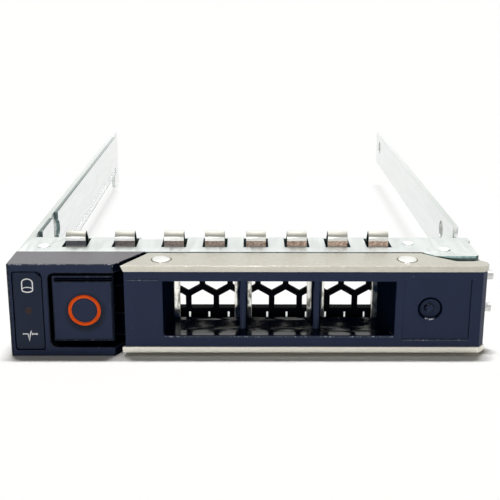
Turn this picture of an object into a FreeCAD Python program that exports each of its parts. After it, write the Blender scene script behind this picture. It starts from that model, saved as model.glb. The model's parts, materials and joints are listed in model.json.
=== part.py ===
import FreeCAD, Part
import os
import re
import Sketcher

# Hot swap drive caddy: a folded steel frame, a plastic bezel block with its release button,
# and a sprung handle on a vertical pin at the other end of the front.
# X runs across the front, Y runs back from the front face, Z is up.
# The origin is in the middle of the width, on the front face, at the foot of the bezel.

DIMS = {
    # folded steel frame
    "caddy_width": 72.4,
    "caddy_top": 14.5,
    "caddy_low": 0.55,
    "sheet_wall": 0.9,
    "rail_end": 112.5,
    "rail_depth": 8.0,
    "rear_tab": 6.5,
    "plate_front": 6.6,
    "plate_rear": 14.7,
    "cheek_end": 16.0,
    "cheek_slope": 1.5,
    "cheek_right": 12.9,
    "relief_end": 21.2,
    "relief_depth": 2.2,
    "seam": 0.3,
    "edge_notch": 3.6,
    "edge_notch_depth": 1.2,
    # ears that carry the hinge pin
    "ear_span": 8.9,
    "ear_slant": 1.7,
    "ear_front": 4.9,
    "ear_trim": 0.5,
    "ear_chamfer": 0.5,
    # side holes for the drive's own screws
    "hole_radius": 1.6,
    "hole_first": 30.3,
    "hole_spacing": 76.6,
    "hole_drop": 3.2,
    # hinge
    "pivot_inset": 5.3,
    "pivot_depth": 8.3,
    "pin_radius": 0.8,
    "pin_head": 1.0,
    "head_rise": 0.2,
    "run_gap": 0.05,
    "bush_wall": 0.35,
    "lug_gap": 0.15,
    "lug_radius": 3.2,
    "lug_left": 5.4,
    "lug_right": 3.6,
    "lug_front": 1.45,
    "coil_wire": 0.22,
    "coil_gap": 0.2,
    "coil_pitch": 0.9,
    "coil_foot": 0.35,
    # pressed fingers on the top plate
    "finger_third": 24.3,
    "finger_wide_pitch": 7.9,
    "finger_pitch": 6.55,
    "finger_width": 3.15,
    "finger_side": 0.375,
    "finger_strip_wall": 0.25,
    "finger_rise": 2.3,
    "slot_front": 9.3,
    "slot_rear": 14.0,
    "strip_front": 8.6,
    "strip_rear": 14.5,
    "strip_left": 5.9,
    "strip_right": 9.0,
    "strip_rivet_inset": 10.4,
    "strip_rivet_depth": 11.5,
    # bezel block
    "bezel_top": 14.65,
    "bezel_span": 15.9,
    "bezel_slant": 4.3,
    "bezel_rivet_inset": 3.6,
    "bezel_rivet_depth": 9.8,
    "tongue_rear": 14.2,
    "tongue_span": 18.6,
    "tongue_block": 7.7,
    "tongue_web": 1.0,
    "strip_room": 0.15,
    "panel_inset": 0.9,
    "panel_span": 4.3,
    "panel_border": 1.1,
    "panel_wall": 0.6,
    "panel_joint": 0.05,
    "lamp_inset": 3.05,
    "lamp_height": 7.4,
    "lamp_radius": 0.6,
    # button
    "pocket_inset": 6.15,
    "pocket_depth": 4.8,
    "pocket_low": 1.45,
    "pocket_high": 13.3,
    "button_side": 0.55,
    "button_under": 0.9,
    "button_over": 0.35,
    "brow_height": 0.4,
    "brow_groove": 0.35,
    "brow_left": 0.45,
    "brow_depth": 0.6,
    "button_face": 0.1,
    "button_wall": 3.1,
    "plunger_inset": 8.6,
    "plunger_width": 2.0,
    "plunger_half": 2.1,
    "plunger_gap": 0.1,
    "guide_gap": 0.3,
    "ring_inset": 11.45,
    "ring_radius": 2.5,
    "ring_band": 0.6,
    "ring_depth": 0.3,
    # latch lever
    "latch_inset": 15.9,
    "latch_depth": 11.6,
    "latch_arm": 6.1,
    "latch_half": 0.6,
    "latch_hub": 1.5,
    "latch_height": 3.8,
    "latch_nose": 3.5,
    "latch_nose_rear": 6.0,
    "latch_nose_wall": 1.0,
    "latch_swing": 2.1,
    # light pipe and the strip beside it
    "pipe_front": 1.6,
    "pipe_inset": 2.0,
    "pipe_width": 2.2,
    "pipe_depth": 2.4,
    "pipe_riser": 2.0,
    "pipe_turn": 16.5,
    "pipe_shift": 3.1,
    "pipe_edge": 0.1,
    "pipe_slim": 1.15,
    "cover_wall": 0.65,
    "cover_front": 18.2,
    "cover_end": 105.0,
    "cover_edge": 0.1,
    "cover_notch_front": 26.7,
    "cover_notch_rear": 30.7,
    "cover_notch_depth": 4.4,
    # grille
    "grille_left": 18.9,
    "grille_right": 13.2,
    "grille_wall": 0.7,
    "grille_side": 1.0,
    "grille_depth": 13.2,
    "grille_gap": 0.3,
    "boss_half": 1.3,
    "boss_height": 1.8,
    "hex_first": 24.53,
    "hex_pitch": 4.39,
    "hex_flat": 3.5,
    "hex_height": 6.2,
    "band_top": 5.1,
    "sill_depth": 1.05,
    "sill_wall": 0.4,
    "slit_first": 26.9,
    "slit_pitch": 3.08,
    "slit_width": 0.3,
    "slit_low": 3.4,
    "slit_high": 4.5,
    # handle
    "handle_gap": 1.1,
    "handle_slant": 3.6,
    "skin_wall": 0.95,
    "corner": 1.0,
    "trench_front": 2.4,
    "trench_left": 4.6,
    "trench_right": 2.0,
    "trench_end": 2.9,
    "web_window_left": 25.5,
    "web_window_right": 16.9,
    "web_window_edge": 1.0,
    "web_post": 2.65,
    "face_inset": 0.15,
    "end_inset": 0.35,
    "vent_left": 23.2,
    "vent_right": 13.9,
    "vent_left_taper": 1.6,
    "vent_right_taper": 2.5,
    "vent_low": 3.3,
    "vent_high": 12.0,
    "ramp_front": 0.3,
    "ramp_rise": 0.9,
    "pillar_width": 1.2,
    "pillar_first": 35.4,
    "pillar_second": 46.7,
    "pillar_front": 2.5,
    "grip_left": 12.8,
    "grip_right": 2.7,
    "grip_low": 2.6,
    "grip_high": 12.3,
    "grip_depth": 0.2,
    "dimple_inset": 8.8,
    "dimple_height": 7.6,
    "dimple_radius": 1.75,
    "dimple_nub": 0.7,
    "dimple_depth": 0.7,
    "keeper_front": 4.2,
    "keeper_left": 21.8,
    "keeper_half": 2.5,
    "rivet_radius": 0.8,
    "rivet_head": 1.68,
    "rivet_rise": 0.25,
    "rivet_depth": 3.1,
    "rivet_length": 5.0,
    "rivet_left": 22.9,
    "rivet_right": 12.0,
    "pip_radius": 0.72,
    "pip_depth": 3.0,
    "pip_root": 1.4,
    "pip_rise": 1.1,
    "pip_high": 12.1,
    "pip_low": 6.9,
}

# Places worked out from those sizes.
DERIVED = {
    "left": "-caddy_width / 2",
    "right": "caddy_width / 2",
    "plate_under": "caddy_top - sheet_wall",
    "floor_over": "caddy_low + sheet_wall",
    "rail_low": "caddy_top - rail_depth",
    "hole_height": "caddy_top - hole_drop",
    "pivot_x": "right - pivot_inset",
    "lug_over": "plate_under - lug_gap",
    "lug_under": "lug_over - skin_wall",
    "foot_under": "floor_over + lug_gap",
    "foot_over": "foot_under + skin_wall",
    "bush_in": "pin_radius + run_gap",
    "bush_out": "bush_in + bush_wall",
    "coil_radius": "bush_out + coil_gap + coil_wire",
    "bezel_right": "left + bezel_span",
    "handle_left": "bezel_right + handle_gap",
    "handle_rear": "plate_front - seam",
    "web_front": "handle_rear - skin_wall",
    "skin_over": "caddy_top - skin_wall",
    "skin_under": "caddy_low + skin_wall",
    "pocket_left": "left + pocket_inset",
    "button_left": "pocket_left + button_side",
    "button_right": "bezel_right - run_gap",
    "button_rear": "button_face + button_wall",
    "plunger_left": "left + plunger_inset",
    "plunger_rear": "latch_depth - latch_half - plunger_gap",
    "latch_x": "left + latch_inset",
    "latch_low": "lamp_height - latch_height / 2",
    "latch_high": "lamp_height + latch_height / 2",
    "strip_under": "plate_under - finger_strip_wall",
    "strip_x": "right - strip_rivet_inset",
    "tongue_top": "strip_under - strip_room",
    "tongue_right": "left + tongue_span",
    "pipe_low": "rail_low - pipe_depth",
    "lamp_x": "left + lamp_inset",
    "ramp_radius": "((web_front - ramp_front) ^ 2 + ramp_rise ^ 2) / (2 * ramp_rise)",
    "grille_front": "plate_front + grille_gap",
    "grille_rear": "grille_front + grille_wall",
    "grille_x": "left + grille_left",
    "grille_end": "right - grille_right",
    "crest": "caddy_top + finger_rise",
}

FINGERS = ["left + finger_third + %d * finger_wide_pitch" % n for n in (-2, -1, 0)]
FINGERS += ["left + finger_third + %d * finger_pitch" % n for n in range(1, 6)]
HEX_COLUMNS = 8
SLITS = 10

doc = FreeCAD.newDocument("drive_caddy")
sheet = doc.addObject("Spreadsheet::Sheet", "Dims")
for row, (alias, value) in enumerate(DIMS.items(), start=1):
    sheet.set("A%d" % row, alias)
    sheet.set("B%d" % row, str(value))
    sheet.setAlias("B%d" % row, alias)
doc.recompute()


def expr(text):
    """The sheet's form of an expression written in the names above."""

    def swap(match):
        word = match.group(0)
        if word in DERIVED:
            return "(" + expr(DERIVED[word]) + ")"
        if word in DIMS:
            return "Dims." + word
        return word

    return re.sub(r"[a-z_]+", swap, str(text))


def bind(obj, prop, text):
    obj.setExpression(prop, expr(text))


def put(obj, x, y, z):
    for axis, text in zip("xyz", (x, y, z)):
        bind(obj, "Placement.Base." + axis, text)


TURNS = {
    "x": FreeCAD.Rotation(FreeCAD.Vector(0, 1, 0), 90),
    "y": FreeCAD.Rotation(FreeCAD.Vector(1, 0, 0), -90),
    "z": FreeCAD.Rotation(),
}


def box(name, x, y, z):
    """A block between two X, two Y and two Z values."""
    block = doc.addObject("Part::Box", name)
    for prop, (low, high) in zip(("Length", "Width", "Height"), (x, y, z)):
        bind(block, prop, "(%s) - (%s)" % (high, low))
    put(block, x[0], y[0], z[0])
    return block


def rod(name, axis, start, radius, length):
    """A cylinder from a start point along an axis."""
    solid = doc.addObject("Part::Cylinder", name)
    solid.Placement = FreeCAD.Placement(FreeCAD.Vector(), TURNS[axis])
    bind(solid, "Radius", radius)
    bind(solid, "Height", length)
    put(solid, *start)
    return solid


def prism(name, role, outline, low, high):
    """A padded sketch of straight lines on an origin plane, between two offsets."""
    body = doc.addObject("PartDesign::Body", name)
    plane = [item for item in body.Origin.OriginFeatures if item.Role == role][0]
    sketch = body.newObject("Sketcher::SketchObject", name + "_sketch")
    sketch.AttachmentSupport = (plane, "")
    sketch.MapMode = "FlatFace"
    count = len(outline)
    turn = FreeCAD.Rotation(FreeCAD.Vector(0, 0, 1), 360.0 / count)
    ring = [FreeCAD.Vector(10, 0, 0)]
    for _ in range(count - 1):
        ring.append(turn.multVec(ring[-1]))
    for index in range(count):
        sketch.addGeometry(Part.LineSegment(ring[index], ring[(index + 1) % count]), False)
    for index in range(count):
        sketch.addConstraint(Sketcher.Constraint("Coincident", index, 2, (index + 1) % count, 1))
    for index, point in enumerate(outline):
        for kind, text, value in zip(("DistanceX", "DistanceY"), point, (ring[index].x, ring[index].y)):
            number = sketch.addConstraint(Sketcher.Constraint(kind, -1, 1, index, 1, value))
            sketch.setExpression("Constraints[%d]" % number, expr(text))
    bind(sketch, "AttachmentOffset.Base.z", low)
    pad = body.newObject("PartDesign::Pad", name + "_pad")
    pad.Profile = sketch
    bind(pad, "Length", "(%s) - (%s)" % (high, low))
    body.Tip = pad
    return body


def fuse(name, shapes):
    whole = doc.addObject("Part::MultiFuse", name)
    whole.Shapes = shapes
    whole.Refine = True
    return whole


def cut(name, base, tools):
    result = doc.addObject("Part::Cut", name)
    result.Base = base
    result.Tool = tools[0] if len(tools) == 1 else fuse(name + "_tools", tools)
    result.Refine = True
    return result


def group(name, shapes):
    compound = doc.addObject("Part::Compound", name)
    compound.Links = shapes
    return compound


def coil(name, x, y, low, high, radius, wire, pitch):
    """A wound wire about a vertical axis."""
    helix = doc.addObject("Part::Helix", name + "_path")
    bind(helix, "Radius", radius)
    bind(helix, "Pitch", pitch)
    bind(helix, "Height", "(%s) - (%s)" % (high, low))
    put(helix, x, y, low)
    section = doc.addObject("Part::Circle", name + "_section")
    section.Placement = FreeCAD.Placement(FreeCAD.Vector(), TURNS["y"])
    bind(section, "Radius", wire)
    put(section, "(%s) + (%s)" % (x, radius), y, low)
    wound = doc.addObject("Part::Sweep", name)
    wound.Sections = [section]
    wound.Spine = (helix, ["Edge1"])
    wound.Solid = True
    wound.Frenet = True
    return wound


def hinge_plate(name, low, high):
    """A plate of the frame with its ear round the hinge pin."""
    ear_left = "right - ear_span"
    ear_right = "right - ear_trim"
    outline = [
        ("left", "plate_front"),
        (ear_left, "plate_front"),
        (ear_left + " + ear_slant", "ear_front"),
        (ear_right + " - ear_chamfer", "ear_front"),
        (ear_right, "ear_front + ear_chamfer"),
        (ear_right, "cheek_right"),
        ("right", "cheek_right"),
        ("right", "plate_rear"),
        ("left", "plate_rear"),
    ]
    return prism(name, "XY_Plane", outline, low, high)


def side_holes(name, start, length):
    """The two screw holes of a side, along X."""
    return [
        rod(name + "_front", "x", (start, "hole_first", "hole_height"), "hole_radius", length),
        rod(name + "_rear", "x", (start, "hole_first + hole_spacing", "hole_height"), "hole_radius", length),
    ]


# Frame: top plate, two floor halves that meet at a seam, and the two rails.
top_plate = hinge_plate("top_plate", "plate_under", "caddy_top")
floor_plate = hinge_plate("floor_plate", "caddy_low", "floor_over")
left_outline = [
    ("plate_front", "caddy_low"),
    ("cheek_end", "caddy_low"),
    ("cheek_end + cheek_slope", "rail_low"),
    ("rail_end - rear_tab", "rail_low"),
    ("rail_end - rear_tab", "caddy_low"),
    ("rail_end", "caddy_low"),
    ("rail_end", "caddy_top"),
    ("plate_front", "caddy_top"),
]
right_outline = [
    ("cheek_right", "caddy_low"),
    ("cheek_end", "caddy_low"),
    ("cheek_end + cheek_slope", "rail_low"),
    ("rail_end", "rail_low"),
    ("rail_end", "caddy_top"),
    ("relief_end", "caddy_top"),
    ("relief_end", "caddy_top - relief_depth"),
    ("plate_rear", "caddy_top - relief_depth"),
    ("plate_rear", "caddy_top"),
    ("cheek_right", "caddy_top"),
]
left_rail = prism("left_rail", "YZ_Plane", left_outline, "left", "left + sheet_wall")
right_rail = prism("right_rail", "YZ_Plane", right_outline, "right - sheet_wall", "right")
openings = [
    box("floor_seam", ("-seam / 2", "seam / 2"), ("0", "plate_rear + 1"), ("0", "floor_over + 1")),
    box(
        "rear_notch",
        (FINGERS[1] + " + finger_width / 2 + seam * 2", FINGERS[1] + " + finger_width / 2 + seam * 2 + edge_notch"),
        ("plate_rear - edge_notch_depth", "plate_rear + 1"),
        ("plate_under - 1", "caddy_top + 1"),
    ),
    rod("pin_seat", "z", ("pivot_x", "pivot_depth", "0"), "pin_radius", "caddy_top + 1"),
    rod(
        "strip_rivet_seat",
        "z",
        ("strip_x", "strip_rivet_depth", "plate_under - 1"),
        "rivet_radius",
        "sheet_wall + 2",
    ),
    rod(
        "bezel_rivet_seat",
        "z",
        ("left + bezel_rivet_inset", "bezel_rivet_depth", "plate_under - 1"),
        "rivet_radius",
        "sheet_wall + 2",
    ),
]
openings += side_holes("left_hole", "left - 1", "sheet_wall + 2")
openings += side_holes("right_hole", "right - sheet_wall - 1", "sheet_wall + 2")
for number, middle in enumerate(FINGERS, start=1):
    half = "(finger_width / 2 + finger_side)"
    openings.append(
        box(
            "finger_slot_%d" % number,
            (middle + " - " + half, middle + " + " + half),
            ("slot_front", "slot_rear"),
            ("plate_under - 1", "caddy_top + 1"),
        )
    )
frame = cut("frame", fuse("frame_sheet", [top_plate, floor_plate, left_rail, right_rail]), openings)

# Inner strip on the left rail, with a notch ahead of the screw hole.
cover_low = "rail_low + cover_edge"
cover_high = "caddy_top - cover_edge"
cover_outline = [
    ("cover_front", cover_low),
    ("cover_end", cover_low),
    ("cover_end", cover_high),
    ("cover_notch_rear", cover_high),
    ("cover_notch_rear", "caddy_top - cover_notch_depth"),
    ("cover_notch_front", "caddy_top - cover_notch_depth"),
    ("cover_notch_front", cover_high),
    ("cover_front", cover_high),
]
cover_sheet = prism(
    "cover_sheet", "YZ_Plane", cover_outline, "left + sheet_wall", "left + sheet_wall + cover_wall"
)
inner_strip = cut("inner_strip", cover_sheet, side_holes("cover_hole", "left", "sheet_wall + cover_wall + 1"))

# Light pipe from the lamp window back under the left rail to its rear tab.
pipe_in = "left + pipe_inset"
pipe_outline = [
    (pipe_in, "pipe_front"),
    (pipe_in + " + pipe_width", "pipe_front"),
    (pipe_in + " + pipe_width", "pipe_turn"),
    ("left + pipe_edge + pipe_slim", "pipe_turn + pipe_shift + cover_wall"),
    ("left + pipe_edge + pipe_slim", "rail_end - rear_tab"),
    ("left + pipe_edge", "rail_end - rear_tab"),
    ("left + pipe_edge", "pipe_turn + pipe_shift"),
    (pipe_in, "pipe_turn"),
]
pipe_bar = prism("pipe_bar", "XY_Plane", pipe_outline, "pipe_low", "rail_low")
pipe_head = box(
    "pipe_head",
    (pipe_in, pipe_in + " + pipe_width"),
    ("pipe_front", "pipe_front + pipe_riser"),
    ("pipe_low", "lamp_height + lamp_radius + seam"),
)
light_pipe = fuse("light_pipe", [pipe_bar, pipe_head])

# Honeycomb grille with a slotted lower band, side walls and a rivet boss.
grille_sheet = box("grille_sheet", ("grille_x", "grille_end"), ("grille_front", "grille_rear"), ("floor_over", "plate_under"))
grille_walls = []
for number, wall in enumerate(("grille_x", "grille_end - grille_side")):
    grille_walls.append(
        box(
            "grille_wall_%d" % number,
            (wall, wall + " + grille_side"),
            ("grille_front", "grille_depth"),
            ("floor_over", "strip_under"),
        )
    )
grille_walls[0].setExpression("Height", expr("tongue_top - floor_over"))
boss = box(
    "grille_boss",
    ("grille_end - grille_side", "strip_x + boss_half"),
    ("strip_rivet_depth - boss_half", "strip_rivet_depth + boss_half"),
    ("strip_under - boss_height", "strip_under"),
)
cells = []
hex_turn = TURNS["y"].multiply(FreeCAD.Rotation(FreeCAD.Vector(0, 0, 1), 30))
for level in range(2):
    for column in range(HEX_COLUMNS):
        cell = doc.addObject("Part::Prism", "cell_%d_%d" % (level, column))
        cell.Polygon = 6
        cell.Placement = FreeCAD.Placement(FreeCAD.Vector(), hex_turn)
        bind(cell, "Circumradius", "hex_flat / sqrt(3)")
        bind(cell, "Height", "grille_wall + 2")
        put(
            cell,
            "left + hex_first + hex_pitch * (%d - %d / 2)" % (column, level),
            "grille_front - 1",
            "hex_height + hex_pitch * sqrt(3) / 2 * %d" % level,
        )
        cells.append(cell)
band = box("hex_band", ("grille_x", "grille_end"), ("grille_front - 2", "grille_rear + 2"), ("0", "band_top"))
cell_cuts = cut("cell_cuts", group("cells", cells), [band])
slits = []
for column in range(SLITS):
    middle = "left + slit_first + slit_pitch * %d" % column
    slits.append(
        box(
            "slit_%d" % column,
            (middle + " - slit_width / 2", middle + " + slit_width / 2"),
            ("grille_front - 1", "grille_rear + 1"),
            ("slit_low", "slit_high"),
        )
    )
boss_bore = rod(
    "boss_bore",
    "z",
    ("strip_x", "strip_rivet_depth", "strip_under - boss_height"),
    "rivet_radius",
    "boss_height + 1",
)
sill = box(
    "grille_sill",
    ("grille_x", "grille_end"),
    ("grille_front", "grille_rear + sill_depth"),
    ("band_top - sill_wall", "band_top"),
)
grille_parts = [grille_sheet, boss, sill] + grille_walls
grille = cut("grille", fuse("grille_blank", grille_parts), [cell_cuts, boss_bore] + slits)

# Contact strip under the top plate, whose fingers arch up through the slots.
strip_band = box(
    "strip_band",
    ("left + strip_left", "right - strip_right"),
    ("strip_front", "strip_rear"),
    ("strip_under", "plate_under"),
)
wall = "finger_strip_wall"
arch = [
    ("slot_rear - seam / 3", "strip_under"),
    ("slot_rear - seam / 3", "caddy_top - seam / 3"),
    ("slot_rear - 1.7", "caddy_top + finger_rise * 0.53"),
    ("slot_rear - 2.8", "caddy_top + finger_rise * 0.87"),
    ("slot_front + 1.1", "crest"),
    ("slot_front + 0.6", "crest - 0.2"),
    ("slot_front + seam", "crest - 0.7"),
    ("slot_front + seam", "plate_under - 0.1"),
    ("slot_front + seam + " + wall, "plate_under - 0.1"),
    ("slot_front + seam + " + wall, "crest - 0.8"),
    ("slot_front + 0.75", "crest - 0.42"),
    ("slot_front + 1.15", "crest - " + wall),
    ("slot_rear - 2.9", "caddy_top + finger_rise * 0.87 - " + wall),
    ("slot_rear - 1.85", "caddy_top + finger_rise * 0.53 - " + wall),
    ("slot_rear - seam / 3 - " + wall, "caddy_top - seam / 3 - " + wall + " / 2"),
    ("slot_rear - seam / 3 - " + wall, "strip_under"),
]
fingers = []
windows = []
for number, middle in enumerate(FINGERS, start=1):
    half = "(finger_width / 2 + finger_side)"
    fingers.append(
        prism(
            "finger_%d" % number,
            "YZ_Plane",
            arch,
            middle + " - finger_width / 2",
            middle + " + finger_width / 2",
        )
    )
    windows.append(
        box(
            "strip_window_%d" % number,
            (middle + " - " + half, middle + " + " + half),
            ("slot_front", "slot_rear - seam / 3 - " + wall),
            ("strip_under - 1", "plate_under + 1"),
        )
    )
windows.append(
    rod("strip_bore", "z", ("strip_x", "strip_rivet_depth", "strip_under - 1"), "rivet_radius", wall + " + 2")
)
finger_strip = fuse("finger_strip", [cut("strip_ladder", strip_band, windows)] + fingers)

# Bezel block with its tongue under the top plate.
bezel_outline = [
    ("left", "0"),
    ("bezel_right", "0"),
    ("bezel_right + bezel_slant", "plate_front"),
    ("left", "plate_front"),
]
bezel_block = prism("bezel_block", "XY_Plane", bezel_outline, "0", "bezel_top")
tongue_left = "left + sheet_wall + run_gap"
block_right = "left + tongue_block"
tongue = box("tongue", (tongue_left, "tongue_right"), ("plate_front", "tongue_rear"), ("floor_over", "tongue_top"))
tongue_head = box(
    "tongue_head",
    (tongue_left, "left + strip_left - strip_room"),
    ("plate_front", "tongue_rear"),
    ("tongue_top", "plate_under"),
)
bezel_cuts = [
    box(
        "tongue_room",
        (block_right, "tongue_right + 1"),
        ("plate_front", "tongue_rear + 1"),
        ("floor_over + tongue_web", "tongue_top - tongue_web"),
    ),
    box("pocket", ("pocket_left", "tongue_right + 5"), ("-1", "pocket_depth"), ("pocket_low", "pocket_high")),
    box(
        "arm_slot",
        ("latch_x - latch_half - latch_swing", "tongue_right + 5"),
        ("pocket_depth - 1", "plate_front + 1"),
        ("latch_low - guide_gap", "latch_high + guide_gap"),
    ),
    box(
        "plunger_hole",
        ("plunger_left - guide_gap", "plunger_left + plunger_width + guide_gap"),
        ("pocket_depth - 1", "plate_front + 1"),
        ("lamp_height - plunger_half - guide_gap", "lamp_height + plunger_half + guide_gap"),
    ),
    box(
        "panel_seat",
        ("left + panel_inset - panel_joint", "left + panel_inset + panel_span + panel_joint"),
        ("-1", "panel_joint + panel_wall"),
        ("panel_border - panel_joint", "pocket_high + 0.2"),
    ),
    rod("lamp_seat", "y", ("lamp_x", "0", "lamp_height"), "lamp_radius", "pipe_front + 0.5"),
    box(
        "pipe_seat",
        (pipe_in, pipe_in + " + pipe_width"),
        ("pipe_front", "tongue_rear + 1"),
        ("pipe_low", "rail_low"),
    ),
    box(
        "riser_seat",
        (pipe_in, pipe_in + " + pipe_width"),
        ("pipe_front", "pipe_front + pipe_riser"),
        ("pipe_low", "lamp_height + lamp_radius + seam"),
    ),
    rod(
        "latch_pin_seat",
        "z",
        ("latch_x", "latch_depth", "floor_over + tongue_web / 2"),
        "pin_radius",
        "tongue_top - floor_over - tongue_web",
    ),
    rod(
        "bezel_rivet_bore",
        "z",
        ("left + bezel_rivet_inset", "bezel_rivet_depth", "plate_under - 2"),
        "rivet_radius",
        "3",
    ),
]
bezel = cut("bezel", fuse("bezel_blank", [bezel_block, tongue, tongue_head]), bezel_cuts)

# Window panel and lamp lens.
panel_sheet = box(
    "panel_sheet",
    ("left + panel_inset", "left + panel_inset + panel_span"),
    ("panel_joint", "panel_joint + panel_wall"),
    ("panel_border", "pocket_high + 0.15"),
)
lamp_bore = rod("lamp_bore", "y", ("lamp_x", "-1", "lamp_height"), "lamp_radius", "3")
window_panel = cut("window_panel", panel_sheet, [lamp_bore])
lamp_lens = rod("lamp_lens", "y", ("lamp_x", "panel_joint", "lamp_height"), "lamp_radius", "pipe_front - panel_joint")


def rivet(name, x, y, low, head_radius, rise):
    """A headed rivet that stands on the top plate."""
    shank = rod(name + "_shank", "z", (x, y, low), "rivet_radius", "caddy_top - (%s)" % low)
    head = rod(name + "_head", "z", (x, y, "caddy_top"), head_radius, rise)
    return fuse(name, [shank, head])


bezel_rivet = rivet(
    "bezel_rivet", "left + bezel_rivet_inset", "bezel_rivet_depth", "plate_under - 2", "pin_head", "head_rise"
)
strip_rivet = rivet(
    "strip_rivet", "strip_x", "strip_rivet_depth", "strip_under - boss_height", "pin_head", "head_rise"
)

# Hinge pin and the return spring wound about it.
pin_shaft = rod("pin_shaft", "z", ("pivot_x", "pivot_depth", "caddy_low"), "pin_radius", "caddy_top - caddy_low")
pin_top = rod("pin_top", "z", ("pivot_x", "pivot_depth", "caddy_top"), "pin_head", "head_rise")
pin_foot = rod("pin_foot", "z", ("pivot_x", "pivot_depth", "caddy_low - head_rise"), "pin_head", "head_rise")
hinge_pin = fuse("hinge_pin", [pin_shaft, pin_top, pin_foot])
handle_spring = coil(
    "handle_spring",
    "pivot_x",
    "pivot_depth",
    "foot_over + coil_foot",
    "lug_under - coil_foot",
    "coil_radius",
    "coil_wire",
    "coil_pitch",
)

# Latch lever on its pin in the tongue, with its own spring.
latch_pin = rod(
    "latch_pin",
    "z",
    ("latch_x", "latch_depth", "floor_over + tongue_web / 2"),
    "pin_radius",
    "tongue_top - floor_over - tongue_web",
)
arm_end = "latch_x - latch_arm"
lever_outline = [
    (arm_end, "latch_depth - latch_half"),
    ("latch_x - latch_half", "latch_depth - latch_half"),
    ("latch_x - latch_half", "latch_nose_rear - latch_nose_wall"),
    ("latch_x + latch_nose", "latch_nose_rear - latch_nose_wall"),
    ("latch_x + latch_nose", "latch_nose_rear"),
    ("latch_x + latch_half", "latch_nose_rear"),
    ("latch_x + latch_half", "latch_depth + latch_half"),
    (arm_end, "latch_depth + latch_half"),
]
lever_sheet = prism("lever_sheet", "XY_Plane", lever_outline, "latch_low", "latch_high")
lever_hub = rod("lever_hub", "z", ("latch_x", "latch_depth", "latch_low"), "latch_hub", "latch_height")
lever_bore = rod(
    "lever_bore", "z", ("latch_x", "latch_depth", "latch_low - 1"), "pin_radius + run_gap", "latch_height + 2"
)
latch_lever = cut("latch_lever", fuse("lever_blank", [lever_sheet, lever_hub]), [lever_bore])
latch_spring = coil(
    "latch_spring",
    "latch_x",
    "latch_depth",
    "latch_high + coil_foot",
    "tongue_top - tongue_web - coil_foot",
    "pin_radius + coil_gap + coil_wire",
    "coil_wire",
    "coil_pitch * 2 / 3",
)

# Release button with its plunger and the coloured ring let into its face.
button_low = "pocket_low + button_under"
button_high = "pocket_high - button_over"
ring_x = "left + ring_inset"
button_block = box("button_block", ("button_left", "button_right"), ("button_face", "button_rear"), (button_low, button_high))
plunger = box(
    "plunger",
    ("plunger_left", "plunger_left + plunger_width"),
    ("button_rear", "plunger_rear"),
    ("lamp_height - plunger_half", "lamp_height + plunger_half"),
)


def ring(name, front, depth):
    """The ring's band, about an axis along Y."""
    outer = rod(name + "_outer", "y", (ring_x, front, "lamp_height"), "ring_radius", depth)
    inner = rod(name + "_inner", "y", (ring_x, front, "lamp_height"), "ring_radius - ring_band", depth)
    return cut(name, outer, [inner])


brow_low = "pocket_high - button_over - brow_height"
brow_cut = box(
    "brow_cut",
    ("button_left + brow_left", "button_right + 1"),
    ("button_face - 1", "button_face + brow_depth"),
    (brow_low + " - brow_groove", brow_low),
)
release_button = cut(
    "release_button",
    fuse("button_blank", [button_block, plunger]),
    [ring("ring_groove", "button_face", "ring_depth"), brow_cut],
)
button_ring = ring("button_ring", "button_face", "ring_depth")

# Handle: a folded channel, open to the front, with lugs that step inside the frame's ears.
flange_outline = [
    ("handle_left", "0"),
    ("right - corner", "0"),
    ("right", "corner"),
    ("right", "trench_end - corner"),
    ("right - corner", "trench_end"),
    ("right - trench_right", "trench_front"),
    ("right - trench_left", "trench_front"),
    ("right - ear_span + ear_slant - seam", "ear_front - seam"),
    ("right - ear_span - seam", "handle_rear"),
    ("handle_left + handle_slant", "handle_rear"),
]
web_slope = "handle_left + handle_slant * web_front / handle_rear"
web_outline = [
    (web_slope, "web_front"),
    ("right - ear_span - seam", "web_front"),
    ("right - ear_span - seam", "handle_rear"),
    ("handle_left + handle_slant", "handle_rear"),
]
skin_parts = [
    prism("upper_flange", "XY_Plane", flange_outline, "skin_over", "caddy_top"),
    prism("lower_flange", "XY_Plane", flange_outline, "caddy_low", "skin_under"),
    prism("web", "XY_Plane", web_outline, "caddy_low", "caddy_top"),
]
lug_x = ("pivot_x - lug_left", "pivot_x + lug_right")
step_x = ("right - trench_left", "right - trench_right")
step_y = ("lug_front", "trench_front")
for name, low, high, step in (
    ("upper", "lug_under", "lug_over", ("lug_under", "caddy_top")),
    ("lower", "foot_under", "foot_over", ("caddy_low", "foot_over")),
):
    skin_parts.append(box(name + "_lug", lug_x, ("lug_front", "pivot_depth"), (low, high)))
    skin_parts.append(
        rod(name + "_lug_eye", "z", ("pivot_x", "pivot_depth", low), "lug_radius", "(%s) - (%s)" % (high, low))
    )
    skin_parts.append(box(name + "_lug_step", step_x, step_y, step))


def handle_rivet_places():
    return ("left + rivet_left", "right - rivet_right")


PILLARS = ("left + pillar_first", "left + pillar_second")
window_depth = ("web_front - 1", "handle_rear + 1")
window_height = ("skin_under + web_window_edge", "skin_over - web_window_edge")
window_width = ("left + web_window_left", "right - web_window_right")
web_posts = []
for number, x in enumerate(PILLARS):
    post_width = (x + " - web_post / 2", x + " + web_post / 2")
    web_posts.append(box("web_post_%d" % number, post_width, window_depth, window_height))
skin_cuts = [
    cut("web_windows", box("web_window", window_width, window_depth, window_height), web_posts),
    rod("bush_seat", "z", ("pivot_x", "pivot_depth", "0"), "bush_out", "caddy_top"),
]
for number, x in enumerate(handle_rivet_places()):
    skin_cuts.append(
        rod("skin_rivet_seat_%d" % number, "z", (x, "rivet_depth", "skin_over - 1"), "rivet_radius", "skin_wall + 2")
    )
handle_skin = cut("handle_skin", fuse("skin_blank", skin_parts), skin_cuts)

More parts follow.
